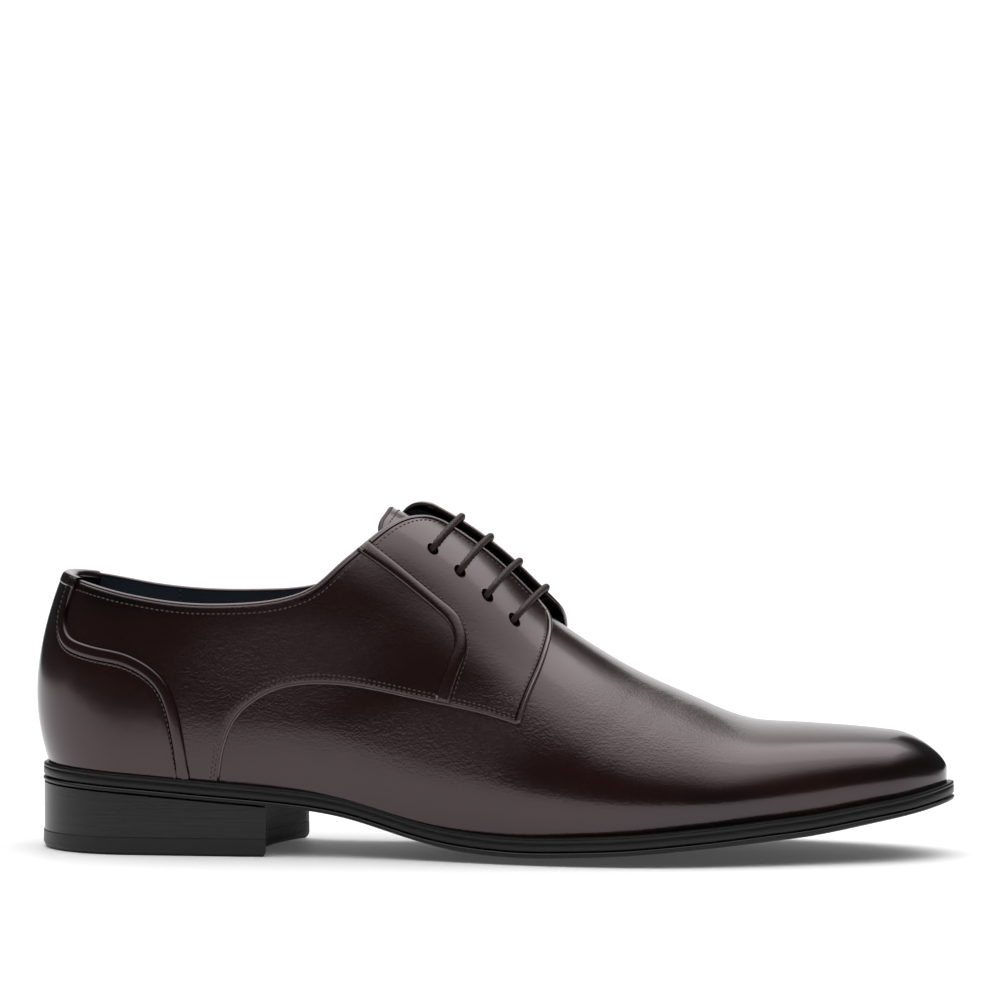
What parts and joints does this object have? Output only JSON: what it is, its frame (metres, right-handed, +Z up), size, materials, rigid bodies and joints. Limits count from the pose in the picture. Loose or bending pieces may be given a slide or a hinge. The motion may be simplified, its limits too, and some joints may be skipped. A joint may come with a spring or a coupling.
{
  "type": "derby shoe",
  "caption": "right derby dress shoe in burnished brown calf, hollow lasted upper with open throat and straight lacing, thin welted sole and stacked heel",
  "frame": {"origin": "on the floor, below the middle of the shoe's length and width", "axes": "X from heel to toe, Y from the outer side to the inner side, Z up"},
  "size_m": [0.3144, 0.0984, 0.1178],
  "materials": {
    "calf": "polished, burnished",
    "lining": "matte",
    "sole_edge": "satin black edge",
    "heel_rubber": "matte",
    "lace": "waxed"
  },
  "bodies": {
    "root": {"upper": "calf", "tongue": "calf", "insole": "lining", "midsole": "sole_edge", "outsole": "sole_edge", "heel_stack": "sole_edge", "top_piece": "heel_rubber", "lace_bar_1": "lace", "lace_bar_2": "lace", "lace_bar_3": "lace", "lace_bar_4": "lace"}
  },
  "joints": []
}
